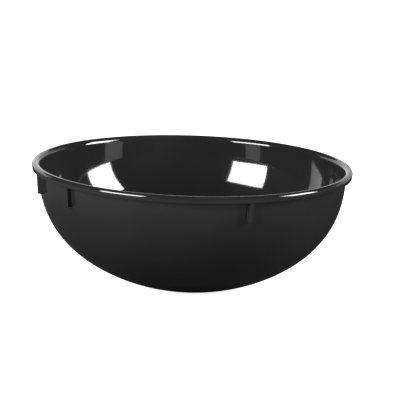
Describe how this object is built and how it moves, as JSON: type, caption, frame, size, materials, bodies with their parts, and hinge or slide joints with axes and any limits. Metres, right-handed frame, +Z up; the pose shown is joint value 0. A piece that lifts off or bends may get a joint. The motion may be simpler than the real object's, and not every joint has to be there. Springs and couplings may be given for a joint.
{
  "type": "hair colour mixing bowl",
  "caption": "Round salon tint bowl in glossy black plastic with a rolled rim, stacking lugs below the rim and a soft non-slip ring in its foot.",
  "frame": {"origin": "centre of the plane the bowl stands on", "axes": "+Z up along the bowl's axis, out of its mouth; -Y is the front"},
  "size_m": [0.15, 0.15, 0.0576],
  "materials": {
    "black_plastic": "gloss",
    "black_tpe": "matte"
  },
  "bodies": {
    "root": {"bowl_shell": "black_plastic", "non_slip_ring": "black_tpe"}
  },
  "joints": []
}
